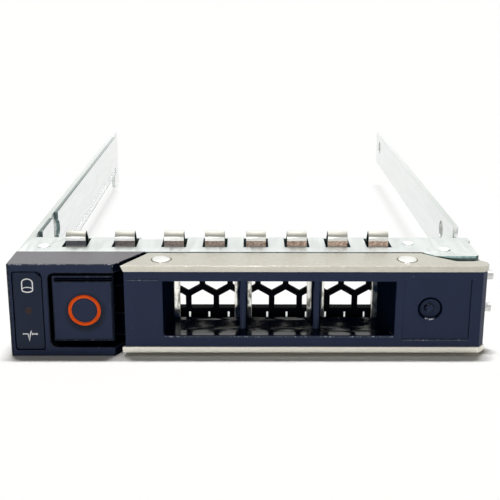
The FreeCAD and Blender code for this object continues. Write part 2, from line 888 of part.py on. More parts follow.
# Plastic insert that fills the channel, with the vent through it.
insert_outline = [
    ("handle_left + end_inset + handle_slant * face_inset / handle_rear", "face_inset"),
    ("right - corner", "face_inset"),
    ("right - face_inset", "corner + face_inset"),
    ("right - face_inset", "handle_rear"),
    ("right - ear_span - seam", "handle_rear"),
    ("right - ear_span - seam", "web_front"),
    (web_slope + " + end_inset", "web_front"),
]
insert_block = prism("insert_block", "XY_Plane", insert_outline, "skin_under", "skin_over")
vent_outline = [
    ("left + vent_left", "0"),
    ("right - vent_right", "0"),
    ("right - vent_right - vent_right_taper", "handle_rear"),
    ("left + vent_left + vent_left_taper", "handle_rear"),
]
insert_cuts = [prism("vent", "XY_Plane", vent_outline, "vent_low", "vent_high")]
for name, low, high in (("over", "lug_under", "caddy_top"), ("under", "0", "foot_over")):
    insert_cuts.append(box("lug_room_" + name, lug_x, ("lug_front", "handle_rear + 1"), (low, high)))
for name, low, high in (("over", "lug_over", "caddy_top"), ("under", "0", "foot_under")):
    insert_cuts.append(
        box(
            "ear_room_" + name,
            ("right - ear_span - seam", "right + 1"),
            ("trench_front", "handle_rear + 1"),
            (low, high),
        )
    )
for number, x in enumerate(handle_rivet_places()):
    insert_cuts.append(
        rod(
            "insert_rivet_seat_%d" % number,
            "z",
            (x, "rivet_depth", "caddy_top - rivet_length"),
            "rivet_radius",
            "rivet_length",
        )
    )
pip_root = "right - pip_root"
for number, height in enumerate(("pip_low", "pip_high")):
    insert_cuts.append(
        rod("pip_seat_%d" % number, "x", (pip_root, "pip_depth", height), "pip_radius", "pip_root + 1")
    )
insert_cuts.append(
    box(
        "keeper_room",
        ("handle_left", "left + keeper_left"),
        ("keeper_front", "web_front + 1"),
        ("lamp_height - keeper_half", "lamp_height + keeper_half"),
    )
)
insert_cuts.append(
    box(
        "grip_recess",
        ("right - grip_left", "right - grip_right"),
        ("-1", "face_inset + grip_depth"),
        ("grip_low", "grip_high"),
    )
)
dimple_x = "right - dimple_inset"
dimple = rod("dimple_bowl", "y", (dimple_x, "0", "dimple_height"), "dimple_radius", "face_inset + dimple_depth")
dimple_nub = rod("dimple_nub_post", "y", (dimple_x, "0", "dimple_height"), "dimple_nub", "face_inset + dimple_depth")
insert_cuts.append(cut("dimple", dimple, [dimple_nub]))
pillars = []
for number, x in enumerate(PILLARS):
    pillars.append(
        box(
            "pillar_%d" % number,
            (x + " - pillar_width / 2", x + " + pillar_width / 2"),
            ("pillar_front", "web_front"),
            ("vent_low", "vent_high"),
        )
    )
ramp_block = box(
    "ramp_block",
    ("left + vent_left", "right - vent_right"),
    ("ramp_front", "web_front"),
    ("vent_low - 0.5", "vent_low + ramp_rise"),
)
ramp_curve = rod(
    "ramp_curve",
    "x",
    ("left + vent_left - 1", "ramp_front", "vent_low + ramp_radius"),
    "ramp_radius",
    "right - vent_right - left - vent_left + 2",
)
ramp = cut("ramp", ramp_block, [ramp_curve])
handle_insert = fuse("handle_insert", [cut("insert_shell", insert_block, insert_cuts), ramp] + pillars)

# Sleeve that turns on the hinge pin.
sleeve = rod("sleeve", "z", ("pivot_x", "pivot_depth", "foot_under"), "bush_out", "lug_over - foot_under")
sleeve_bore = rod("sleeve_bore", "z", ("pivot_x", "pivot_depth", "0"), "bush_in", "caddy_top")
hinge_sleeve = cut("hinge_sleeve", sleeve, [sleeve_bore])

# Two flat-headed rivets in the handle's upper flange, and two pips in its end.
handle_rivets = group(
    "handle_rivets",
    [
        rivet("handle_rivet_%d" % number, x, "rivet_depth", "caddy_top - rivet_length", "rivet_head", "rivet_rise")
        for number, x in enumerate(handle_rivet_places())
    ],
)
end_pips = group(
    "end_pips",
    [
        rod("end_pip_%d" % number, "x", (pip_root, "pip_depth", height), "pip_radius", "pip_root + pip_rise")
        for number, height in enumerate(("pip_low", "pip_high"))
    ],
)

NODES = [
    frame,
    inner_strip,
    light_pipe,
    grille,
    finger_strip,
    bezel,
    window_panel,
    lamp_lens,
    bezel_rivet,
    strip_rivet,
    hinge_pin,
    handle_spring,
    latch_pin,
    latch_spring,
    latch_lever,
    release_button,
    button_ring,
    handle_skin,
    handle_insert,
    hinge_sleeve,
    handle_rivets,
    end_pips,
]

doc.recompute()
for item in doc.Objects:
    if "Invalid" in item.State or "Error" in item.State:
        raise RuntimeError("failed object: " + item.Name)
for node in NODES:
    node.Label = node.Name
    if node.Shape.isNull() or not node.Shape.isValid() or not node.Shape.Solids:
        raise RuntimeError("bad shape: " + node.Name)

os.makedirs("parts", exist_ok=True)
for node in NODES:
    node.Shape.exportStep("parts/%s.step" % node.Label)
    solids = len(node.Shape.Solids)
    print("%-16s %2d solid(s) %9.2f mm3" % (node.Label, solids, node.Shape.Volume))
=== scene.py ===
import json
import math

import bmesh
import bpy
from mathutils import Matrix, Vector

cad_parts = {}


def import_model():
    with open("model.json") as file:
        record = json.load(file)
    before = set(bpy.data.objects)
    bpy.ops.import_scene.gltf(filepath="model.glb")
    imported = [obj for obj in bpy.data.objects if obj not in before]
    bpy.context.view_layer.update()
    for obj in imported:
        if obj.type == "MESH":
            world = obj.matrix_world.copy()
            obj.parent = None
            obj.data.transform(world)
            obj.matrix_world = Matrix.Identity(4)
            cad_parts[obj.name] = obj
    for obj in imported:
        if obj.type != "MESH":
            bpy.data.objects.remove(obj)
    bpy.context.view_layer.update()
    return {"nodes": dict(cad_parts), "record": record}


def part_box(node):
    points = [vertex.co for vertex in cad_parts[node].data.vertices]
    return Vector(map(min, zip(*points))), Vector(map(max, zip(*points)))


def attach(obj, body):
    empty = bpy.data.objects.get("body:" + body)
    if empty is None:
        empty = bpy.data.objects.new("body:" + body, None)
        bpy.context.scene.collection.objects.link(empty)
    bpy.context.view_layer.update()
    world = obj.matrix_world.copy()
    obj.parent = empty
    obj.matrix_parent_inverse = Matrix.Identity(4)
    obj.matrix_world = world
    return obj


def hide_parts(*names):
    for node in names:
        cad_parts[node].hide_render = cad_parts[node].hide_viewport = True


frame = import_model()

MM = 0.001
NODES = frame["nodes"]
SLOT_OF = {part["node"]: part["material_slot"] for part in frame["record"]["subparts"]}
BODY_OF = {node: body for body, nodes in frame["record"]["behaviour"]["bodies"].items() for node in nodes}


def corners(node):
    """The low and high corner of a node's box, in millimetres."""
    low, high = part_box(node)
    return Vector(low) / MM, Vector(high) / MM


def centre_of(node):
    low, high = corners(node)
    return (low + high) / 2


# ---------------------------------------------------------------- places, in millimetres
NEAR = 0.1  # how near a place must be to a face to count as on it
PLATE_Y = (8, 15)  # depths between which the plate's slots lie
RAILS_FROM = 16.0  # behind this depth the frame is only its two rails
SEAM = 6.78  # depth of the joint between the top plate and the handle
SEAM_END = 27.2  # where that joint ends, at the hinge ear
RING = centre_of("button_ring")
FINGERS_X = (-27.45, -19.65, -11.85, -5.35, 1.2, 7.72, 14.2, 20.7)
FINGER_WIDE = 3.15
RIBBON = 0.25  # thickness of the fingers' strip
CREST_RADIUS = 0.85
RIVET_SHANK = 1.68  # radius of the handle's rivets in the solid
RIVET_PIT = 1.62  # radius of the fine joint drawn round each of them
RIVETS_X = (corners("handle_rivets")[0].x + RIVET_SHANK, corners("handle_rivets")[1].x - RIVET_SHANK)
RIVET_Y = 3.1
VENTS_X = (-13.05, 22.35)  # left and right ends of the row of vents
VENTS_Z = (3.2, 12.1)
PILLARS_X = (-0.8, 10.5)  # middles of the bars between the three vents
PILLAR_HALF = 0.9
WEB_POSTS_X = (-0.925, 10.675)  # the parts of the web painted in the shade of those bars
WEB_ENDS_X = (-11.6, 19.45)  # the part of the web painted as lit
DIMPLE = (27.4, 7.6)  # middle of the round dimple, in X and Z
DIMPLE_RADIUS = 1.9
RECESS_MIDDLE = (28.45, 7.45)  # middle of the square recess round it
RECESS_HALF = (5.2, 5.0)


# ---------------------------------------------------------------- material tools
def material(name, colour, rough=0.5, metal=0.0):
    mat = bpy.data.materials.new(name)
    mat.use_nodes = True
    tree = mat.node_tree
    shader = tree.nodes["Principled BSDF"]
    shader.inputs["Base Color"].default_value = (*colour, 1)
    shader.inputs["Roughness"].default_value = rough
    shader.inputs["Metallic"].default_value = metal
    return mat, tree, shader


def place(tree, stretch=(1, 1, 1)):
    """Object coordinates, stretched along the axes."""
    source = tree.nodes.new("ShaderNodeTexCoord").outputs["Object"]
    mapping = tree.nodes.new("ShaderNodeMapping")
    mapping.inputs["Scale"].default_value = stretch
    tree.links.new(source, mapping.inputs["Vector"])
    return mapping.outputs["Vector"]


def noise(tree, scale, detail=3.0, stretch=(1, 1, 1)):
    tex = tree.nodes.new("ShaderNodeTexNoise")
    tex.inputs["Scale"].default_value = scale
    tex.inputs["Detail"].default_value = detail
    tex.inputs["Roughness"].default_value = 0.55
    tree.links.new(place(tree, stretch), tex.inputs["Vector"])
    return tex.outputs["Fac"]


def axis(tree, name):
    split = tree.nodes.new("ShaderNodeSeparateXYZ")
    tree.links.new(place(tree), split.inputs[0])
    return split.outputs[name]


def span(tree, value, low, high, to_low=0.0, to_high=1.0):
    """Runs from to_low to to_high while the value goes from low to high."""
    node = tree.nodes.new("ShaderNodeMapRange")
    for key, number in zip(("From Min", "From Max", "To Min", "To Max"), (low, high, to_low, to_high)):
        node.inputs[key].default_value = number
    tree.links.new(value, node.inputs["Value"])
    return node.outputs["Result"]


def across(tree, name, low, high, to_low=0.0, to_high=1.0):
    """A span along an axis, between two places in millimetres."""
    return span(tree, axis(tree, name), low * MM, high * MM, to_low, to_high)


def maths(tree, kind, a, b):
    """One sum of two items, each a socket or a float."""
    node = tree.nodes.new("ShaderNodeMath")
    node.operation = kind
    for socket, item in zip(node.inputs, (a, b)):
        if isinstance(item, float):
            socket.default_value = item
        else:
            tree.links.new(item, socket)
    return node.outputs[0]


def times(tree, a, b):
    return maths(tree, "MULTIPLY", a, b)


def mix(tree, fac, a, b):
    """Colour a where fac is 0, colour b where it is 1."""
    node = tree.nodes.new("ShaderNodeMix")
    node.data_type = "RGBA"
    for key, item in ((0, fac), (6, a), (7, b)):
        if isinstance(item, tuple):
            node.inputs[key].default_value = (*item, 1)
        else:
            tree.links.new(item, node.inputs[key])
    return node.outputs[2]


def bump(tree, shader, value, strength, distance):
    node = tree.nodes.new("ShaderNodeBump")
    node.inputs["Strength"].default_value = strength
    node.inputs["Distance"].default_value = distance
    tree.links.new(value, node.inputs["Height"])
    tree.links.new(node.outputs["Normal"], shader.inputs["Normal"])


def reach(tree, x, z):
    """How far a point is from the line along Y through x and z, in metres."""
    side = maths(tree, "SUBTRACT", axis(tree, "X"), x * MM)
    rise = maths(tree, "SUBTRACT", axis(tree, "Z"), z * MM)
    square = maths(tree, "ADD", times(tree, side, side), times(tree, rise, rise))
    return maths(tree, "SQRT", square, 0.0)


# ---------------------------------------------------------------- materials
SEAM_SHADE = (0.07, 0.05, 0.035)
DUST = (0.16, 0.18, 0.21)
RING_SHADOW_COLOUR = (0.0012, 0.004, 0.012)
NAVY_COLOUR = (0.0105, 0.0210, 0.056)
NICKEL_COLOUR = (0.58, 0.565, 0.495)


def sheet_metal(name, colour, deep, rough, grain=(1, 1, 1), speck=0.25, fade=None, foot=None,
                seam=False):
    """Plated sheet: a cloudy coating, fine rolling lines and dark pin specks.

    fade is a lighter colour painted towards the far end and foot one painted on its lowest part, both
    as painted light. seam adds painted shade in the joint between the top plate and the handle.
    """
    mat, tree, shader = material(name, colour, rough, 1.0)
    cloud = span(tree, noise(tree, 110, 4), 0.32, 0.68)
    lines = span(tree, noise(tree, 1400, 2, grain), 0.35, 0.65)
    specks = span(tree, noise(tree, 2600, 1), 0.70, 0.78)
    base = mix(tree, cloud, colour, tuple((a + b) / 2 for a, b in zip(colour, deep)))
    base = mix(tree, times(tree, lines, 0.35), base, deep)
    base = mix(tree, times(tree, specks, speck), base, tuple(c * 0.45 for c in deep))
    # fade paints the sheet lighter towards the far end, as painted light
    if fade:
        base = mix(tree, across(tree, "Y", RAILS_FROM, 110, 0.0, 0.85), base, fade)
    # painted shade in the joint between the plate and the handle, broken up along the rolling lines
    if seam:
        in_seam = times(tree, across(tree, "Y", SEAM, SEAM + 0.12, 1.0, 0.0),
                        across(tree, "X", SEAM_END, SEAM_END - 0.2))
        broken = span(tree, lines, 0, 1, 0.75, 1.0)
        base = mix(tree, times(tree, in_seam, broken), base, SEAM_SHADE)
    # foot paints the lowest part lighter, as painted light
    if foot:
        base = mix(tree, across(tree, "Z", 1.6, 1.2), base, foot)
    tree.links.new(base, shader.inputs["Base Color"])
    tree.links.new(span(tree, lines, 0, 1, rough - 0.05, rough + 0.08), shader.inputs["Roughness"])
    bump(tree, shader, lines, 0.35, 0.000012)
    return mat


def moulded(name, colour, rough, shine, grain=0.6, coat=0.0, wave=0.0, dusty=0.35, ring_shadow=False):
    """Moulded plastic: spark-eroded grain, faint flow marks and stray dust.

    wave adds broad ripples to a glossy face, and the last flag a painted soft shadow round the button's
    ring, below it and outside it.
    """
    mat, tree, shader = material(name, colour, rough)
    fine = noise(tree, 6500, 2)
    flow = span(tree, noise(tree, 140, 3, (1, 1, 0.4)), 0.3, 0.7)
    dust = span(tree, noise(tree, 2600, 1), 0.76, 0.80)
    paler = tuple(min(c * more + 0.003, 0.98) for c, more in zip(colour, (1.8, 1.25, 1.3)))
    base = mix(tree, times(tree, flow, 0.45), colour, paler)
    base = mix(tree, times(tree, dust, dusty), base, DUST)
    # a painted shadow, below the button's ring and outside it
    if ring_shadow:
        outside = span(tree, reach(tree, RING.x, RING.z), 2.15 * MM, 2.3 * MM)
        below = reach(tree, RING.x + 0.12, RING.z - 0.34)
        soft = span(tree, below, 2.5 * MM, 3.4 * MM, 0.92, 0.0)
        base = mix(tree, times(tree, outside, soft), base, RING_SHADOW_COLOUR)
    tree.links.new(base, shader.inputs["Base Color"])
    tree.links.new(span(tree, flow, 0, 1, rough - 0.03, rough + 0.05), shader.inputs["Roughness"])
    shader.inputs["Specular IOR Level"].default_value = shine
    shader.inputs["Coat Weight"].default_value = coat
    shader.inputs["Coat Roughness"].default_value = rough
    if wave:
        fine = maths(tree, "ADD", times(tree, fine, 0.02), noise(tree, wave, 2))
    bump(tree, shader, fine, grain, 0.00007 if wave else 0.000016)
    return mat


def highlight_flecks(name, colour, pale, rough, metal=0.0, shine=0.3, above=None):
    """Painted highlights on an edge: the base colour broken up by small bright flecks, most of them above a
    height.
    """
    mat, tree, shader = material(name, colour, rough, metal)
    flecks = span(tree, noise(tree, 2300, 3), 0.52, 0.66)
    runs = span(tree, noise(tree, 160, 2), 0.35, 0.65)
    if above:
        runs = times(tree, runs, across(tree, "Z", above, above + 0.1, 0.1, 1.0))
    base = mix(tree, times(tree, flecks, runs), colour, pale)
    tree.links.new(base, shader.inputs["Base Color"])
    tree.links.new(span(tree, flecks, 0, 1, rough, rough - 0.12), shader.inputs["Roughness"])
    shader.inputs["Specular IOR Level"].default_value = shine
    bump(tree, shader, flecks, 0.4, 0.00001)
    return mat


def finger_metal():
    """Bright spring strip, with a brown and blue painted reflection low on its front, where it dips into
    the plate, painted shading bands above it and a pale painted highlight at its foot.
    """
    foot_top = 14.56
    reflection_top = 15.40
    crest_from = 16.10
    front_to = 9.8
    # painted shading: where each band of the front starts and ends its change, and the colour above it
    bands = ((16.04, 16.08, (0.40, 0.40, 0.36)),
             (16.14, 16.22, (0.34, 0.335, 0.30)),
             (16.70, 16.76, (0.55, 0.54, 0.50)))
    mat, tree, shader = material("finger_steel", (0.8, 0.8, 0.76), 0.2, 1.0)
    cloudy = span(tree, noise(tree, 2200, 3, (1, 1, 1.6)), 0.38, 0.62)
    # the painted reflection runs from grey-blue on the left fingers to brown on the right ones
    to_right = across(tree, "X", -26, 12)
    dark = mix(tree, to_right, (0.055, 0.057, 0.075), (0.48, 0.28, 0.20))
    light = mix(tree, to_right, (0.105, 0.105, 0.13), (0.98, 0.74, 0.60))
    painted_reflection = mix(tree, cloudy, dark, light)
    # the lowest sliver of the front is painted pale, a painted highlight
    painted_reflection = mix(tree, across(tree, "Z", foot_top + 0.06, foot_top), painted_reflection, (0.80, 0.77, 0.71))
    # the front above the painted reflection: near-white, then the painted shading bands
    metal = (1.0, 1.0, 0.985)
    for low, high, colour in bands:
        metal = mix(tree, across(tree, "Z", low, high), metal, colour)
    front = across(tree, "Y", front_to, front_to + 0.2, 1.0, 0.0)
    reflection_mask = times(tree, across(tree, "Z", reflection_top + 0.06, reflection_top), front)
    tree.links.new(mix(tree, reflection_mask, metal, painted_reflection), shader.inputs["Base Color"])
    bare = maths(tree, "MAXIMUM", across(tree, "Z", reflection_top + 0.02, reflection_top + 0.06),
                 span(tree, front, 0, 1, 1.0, 0.0))
    tree.links.new(bare, shader.inputs["Metallic"])
    grain = noise(tree, 1200, 2, (0.12, 1, 1))
    brushed = span(tree, grain, 0.3, 0.7, 0.28, 0.38)
    dull = across(tree, "Z", crest_from, crest_from + 0.1, 0.0, 0.3)
    tree.links.new(maths(tree, "ADD", brushed, dull), shader.inputs["Roughness"])
    bump(tree, shader, grain, 0.3, 0.00001)
    return mat


def web_metal():
    """The folded sheet behind the vents: a bright, streaked painted highlight above, painted shade below
    and behind the bars.
    """
    shade_top = 6.0
    mat, tree, shader = material("nickel_web", (0.6, 0.6, 0.55), 0.3, 1.0)
    streaks = span(tree, noise(tree, 1100, 3, (1, 1, 0.45)), 0.40, 0.56)
    bright = mix(tree, streaks, (0.16, 0.16, 0.13), (0.98, 0.98, 0.93))
    dull = mix(tree, streaks, (0.004, 0.008, 0.016), (0.05, 0.055, 0.06))
    ragged = maths(tree, "ADD", axis(tree, "Z"), times(tree, streaks, 0.6 * MM))
    side = axis(tree, "X")
    behind = [maths(tree, "ABSOLUTE", maths(tree, "SUBTRACT", side, x * MM), 0.0) for x in WEB_POSTS_X]
    clear = span(tree, maths(tree, "MINIMUM", *behind), 0.80 * MM, 0.88 * MM)
    ends = maths(tree, "MINIMUM", across(tree, "X", WEB_ENDS_X[0], WEB_ENDS_X[0] + 0.1),
                 across(tree, "X", WEB_ENDS_X[1], WEB_ENDS_X[1] - 0.1))
    # where the web is painted bright: above the painted shade line and clear of the bars
    lit = times(tree, span(tree, ragged, shade_top * MM, (shade_top + 0.6) * MM),
                maths(tree, "MINIMUM", clear, ends))
    tree.links.new(mix(tree, lit, dull, bright), shader.inputs["Base Color"])
    bump(tree, shader, streaks, 0.3, 0.00003)
    return mat


def clear_plastic():
    """Clear moulding with a faint haze along its run."""
    mat, tree, shader = material("clear_plastic", (0.94, 0.965, 0.97), 0.06)
    shader.inputs["Transmission Weight"].default_value = 0.9
    shader.inputs["IOR"].default_value = 1.49
    haze = noise(tree, 70, 3, (1, 0.2, 1))
    base = mix(tree, haze, (0.90, 0.94, 0.95), (0.98, 0.99, 0.99))
    tree.links.new(base, shader.inputs["Base Color"])
    tree.links.new(span(tree, haze, 0.3, 0.7, 0.04, 0.16), shader.inputs["Roughness"])
    bump(tree, shader, haze, 0.15, 0.0001)
    return mat


ZINC = sheet_metal("zinc", (0.63, 0.662, 0.645), (0.57, 0.60, 0.58), 0.46, (1, 0.12, 1), 0.06, seam=True)
# a paler copy of the zinc: painted light on the rails' walls
RAIL = sheet_metal("zinc_rail", (0.84, 0.87, 0.86), (0.78, 0.81, 0.80), 0.34, (1, 0.08, 1), 0.1,
                   fade=(0.90, 0.91, 0.905))
RIM = sheet_metal("rail_rim", (0.62, 0.65, 0.62), (0.48, 0.52, 0.49), 0.40, fade=(0.80, 0.82, 0.81))
RAW = sheet_metal("raw_edge", (0.13, 0.18, 0.175), (0.05, 0.08, 0.075), 0.45, speck=0.5)
RAW_FAR = sheet_metal("raw_edge_far", (0.24, 0.30, 0.285), (0.15, 0.20, 0.19), 0.45,
                      fade=(0.72, 0.76, 0.745))
GREEN = sheet_metal("green_edge", (0.26, 0.35, 0.345), (0.15, 0.22, 0.22), 0.5, speck=0.2)
# painted shade: the plate's front by the handle, the band under the slots, the fingers' undersides
SHADE = sheet_metal("painted_shade_under", (0.022, 0.034, 0.036), (0.010, 0.016, 0.018), 0.5, speck=0.3)
NICKEL = sheet_metal("nickel", NICKEL_COLOUR, (0.47, 0.455, 0.39), 0.38, speck=0.45,
                     foot=(0.86, 0.83, 0.74))
# painted highlight flecks on the skin's rounded edges
NICKEL_EDGE = highlight_flecks("nickel_edge", NICKEL_COLOUR, (0.96, 0.95, 0.90), 0.40, 1.0)
WEB = web_metal()
BRIGHT = sheet_metal("bright_steel", (0.84, 0.84, 0.80), (0.74, 0.74, 0.70), 0.34, speck=0.1)
PIP = sheet_metal("pip_steel", (0.78, 0.78, 0.78), (0.50, 0.50, 0.50), 0.3)
HEAD = sheet_metal("pin_head", (0.80, 0.82, 0.82), (0.72, 0.74, 0.74), 0.5, speck=0.05)
SPRING = sheet_metal("spring_steel", (0.82, 0.80, 0.75), (0.70, 0.68, 0.63), 0.2, (0.2, 1, 1))
FINGER = finger_metal()
NAVY = moulded("navy_plastic", NAVY_COLOUR, 0.44, 0.17)
NAVY_RING_SHADOW = moulded("navy_ring_shadow", NAVY_COLOUR, 0.44, 0.17, ring_shadow=True)
# painted highlight flecks on the rounded navy edges
NAVY_EDGE = highlight_flecks("navy_edge", (0.0075, 0.012, 0.026), (0.52, 0.54, 0.58), 0.42, shine=0.1, above=14.32)
# a paler, shinier copy of the navy: painted sheen on upward faces
NAVY_SHEEN_TOP = moulded("navy_painted_sheen", (0.026, 0.025, 0.031), 0.46, 1.0, coat=0.6)
NAVY_GLOSS = moulded("navy_gloss", (0.0015, 0.0050, 0.018), 0.11, 0.62, 0.9, wave=330)
# painted shade for the pocket, the button's sides, the vents' walls and the dimple
NAVY_SHADE = moulded("navy_painted_shade", (0.0008, 0.0034, 0.0100), 0.70, 0.0, dusty=0.1)
NAVY_GLINT = highlight_flecks("navy_glint", (0.030, 0.045, 0.085), (0.75, 0.80, 0.88), 0.3, shine=0.4)
BLACK = moulded("black_plastic", (0.0008, 0.0012, 0.0035), 0.55, 0.02, dusty=0.1)
PANEL = moulded("panel_window", (0.0105, 0.0190, 0.043), 0.34, 0.13, 0.2)
ORANGE = moulded("orange_plastic", (0.74, 0.078, 0.001), 0.45, 0.10, 0.4, dusty=0.0)
WHITE = moulded("white_mark", (0.95, 0.96, 0.97), 0.5, 0.3, 0.3)
LAMP = moulded("lamp_lens", (0.030, 0.020, 0.020), 0.3, 0.15, 0.2, dusty=0.0)
CLEAR = clear_plastic()

SLOTS = {
    "zinc_steel": ZINC,
    "nickel_steel": NICKEL,
    "spring_steel": SPRING,
    "bright_steel": BRIGHT,
    "navy_plastic": NAVY,
    "black_plastic": BLACK,
    "window": PANEL,
    "lamp": LAMP,
    "clear_plastic": CLEAR,
    "orange_plastic": ORANGE,
}


# ---------------------------------------------------------------- shape tools, in millimetres
def to_mesh(bm, name, smooth=False):
    mesh = bpy.data.meshes.new(name)
    bm.to_mesh(mesh)
    bm.free()
    for face in mesh.polygons:
        face.use_smooth = smooth
    return mesh


def add(name, mesh, mats, body):
    """Links a new piece and tells the frame where it belongs."""
    obj = bpy.data.objects.new(name, mesh)
    bpy.context.scene.collection.objects.link(obj)
    mesh.materials.clear()
    for mat in mats:
        mesh.materials.append(mat)
    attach(obj, body)
    return obj


def clean_copy(node, whole):
    """The node's own solid. With whole, flat faces without holes are made whole again."""
    bm = bmesh.new()
    bm.from_mesh(NODES[node].data)
    bmesh.ops.remove_doubles(bm, verts=bm.verts, dist=1e-6)
    if whole:
        bmesh.ops.dissolve_limit(bm, angle_limit=math.radians(0.6), verts=bm.verts, edges=bm.edges)
    return to_mesh(bm, node + "_form")


def dress(node, width=0.0, segments=3, mats=None, whole=True):
    """A finer stand-in for a node, with its edges rounded where a width is given."""
    slot = SLOT_OF[node]
    obj = add(node + "_body", clean_copy(node, whole), mats or [SLOTS[slot]], BODY_OF[node])
    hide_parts(node)
    if width:
        soften(obj, width, segments)
    return obj


def keep_corners(obj):
    """Smooth shading that follows the large faces and keeps the edges marked sharp."""
    level = obj.modifiers.new("normals", "WEIGHTED_NORMAL")
    level.weight = 100
    level.keep_sharp = True


def soften(obj, width, segments=3, angle=30, share=None, edge=None, clamp=True):
    """Rounds the edges that turn by more than the angle.

    share(middle, along) gives an edge its share of the width, and edge is the material that the
    rounded parts take.
    """
    bm = bmesh.new()
    bm.from_mesh(obj.data)
    layer = bm.edges.layers.float.get("bevel_weight_edge") or bm.edges.layers.float.new("bevel_weight_edge")
    for line in bm.edges:
        if len(line.link_faces) != 2 or line.calc_face_angle(0) < math.radians(angle):
            line[layer] = 0
            continue
        ends = [vert.co / MM for vert in line.verts]
        part = share((ends[0] + ends[1]) / 2, (ends[1] - ends[0]).normalized()) if share else 1
        line[layer] = part
        line.smooth = part > 0
    for face in bm.faces:
        face.smooth = True
    bm.to_mesh(obj.data)
    bm.free()
    mod = obj.modifiers.new("edges", "BEVEL")
    mod.width = width * MM
    mod.segments = segments
    mod.limit_method = "WEIGHT"
    mod.material = obj.data.materials.find(edge.name) if edge else -1
    mod.miter_outer = "MITER_ARC"
    mod.use_clamp_overlap = clamp
    keep_corners(obj)


def extrude(outline, along, low, high):
    """A prism: an outline in the two other axes, from low to high."""
    order = {"X": (1, 2, 0), "Y": (0, 2, 1), "Z": (0, 1, 2)}[along]
    bm = bmesh.new()
    rings = []
    for level in (low, high):
        ring = []
        for point in outline:
            at = [0, 0, 0]
            at[order[0]], at[order[1]], at[order[2]] = point[0], point[1], level
            ring.append(bm.verts.new(Vector(at) * MM))
        rings.append(ring)
    bm.faces.new(rings[0])
    bm.faces.new(rings[1][::-1])
    count = len(outline)
    for i in range(count):
        j = (i + 1) % count
        bm.faces.new((rings[0][i], rings[1][i], rings[1][j], rings[0][j]))
    bmesh.ops.recalc_face_normals(bm, faces=bm.faces)
    return bm


def arc(centre, radius, start, end, steps=8):
    """Points on an arc, from one angle to another in degrees."""
    turns = [math.radians(start + (end - start) * i / steps) for i in range(steps + 1)]
    return [(centre[0] + radius * math.cos(a), centre[1] + radius * math.sin(a)) for a in turns]


def rounded(low, high, radius, steps=3):
    """A rectangle with rounded corners."""
    places = ((low[0] + radius, low[1] + radius, 180), (high[0] - radius, low[1] + radius, 270),
              (high[0] - radius, high[1] - radius, 0), (low[0] + radius, high[1] - radius, 90))
    return [point for x, y, start in places for point in arc((x, y), radius, start, start + 90, steps)]


def lathe(name, profile, centre, along, steps=48):
    """A round piece turned from (radius, height) points about a line through centre."""
    turn = {"-Y": Matrix.Rotation(math.radians(90), 4, "X"), "Z": Matrix.Identity(4)}[along]
    bm = bmesh.new()
    rings = []
    for radius, height in profile:
        turns = [math.tau * i / steps for i in range(steps if radius else 1)]
        rings.append([bm.verts.new(Vector((radius * math.cos(a), radius * math.sin(a), height)) * MM)
                      for a in turns])
    for a, b in zip(rings, rings[1:]):
        for i in range(steps):
            j = (i + 1) % steps
            quad = [a[i % len(a)], a[j % len(a)], b[j % len(b)], b[i % len(b)]]
            bm.faces.new(list(dict.fromkeys(quad)))
    bmesh.ops.remove_doubles(bm, verts=bm.verts, dist=1e-7)
    bmesh.ops.recalc_face_normals(bm, faces=bm.faces)
    bmesh.ops.transform(bm, matrix=Matrix.Translation(Vector(centre) * MM) @ turn, verts=bm.verts)
    return to_mesh(bm, name, True)


def bake(obj):
    """Makes the modifiers' result the piece's own mesh."""
    graph = bpy.context.evaluated_depsgraph_get()
    mesh = bpy.data.meshes.new_from_object(obj.evaluated_get(graph))
    obj.modifiers.clear()
    obj.data = mesh


def carve(obj, cutters):
    """Cuts the cutters' shapes out of a piece, and keeps the corners that the cuts leave sharp."""
    corner = math.radians(32)
    tools = []
    for mesh in cutters:
        tool = bpy.data.objects.new("tool", mesh)
        bpy.context.scene.collection.objects.link(tool)
        tools.append(tool)
        mod = obj.modifiers.new("carve", "BOOLEAN")
        mod.object = tool
        mod.operation = "DIFFERENCE"
        mod.solver = "EXACT"
    bake(obj)
    for tool in tools:
        bpy.data.objects.remove(tool)
    bm = bmesh.new()
    bm.from_mesh(obj.data)
    for line in bm.edges:
        line.smooth = len(line.link_faces) == 2 and line.calc_face_angle(0) < corner
    bm.to_mesh(obj.data)
    bm.free()
    keep_corners(obj)


def paint(obj, rule):
    """Gives each face the material that rule(middle, normal) picks."""
    for face in obj.data.polygons:
        face.material_index = obj.data.materials.find(rule(face.center / MM, face.normal).name)


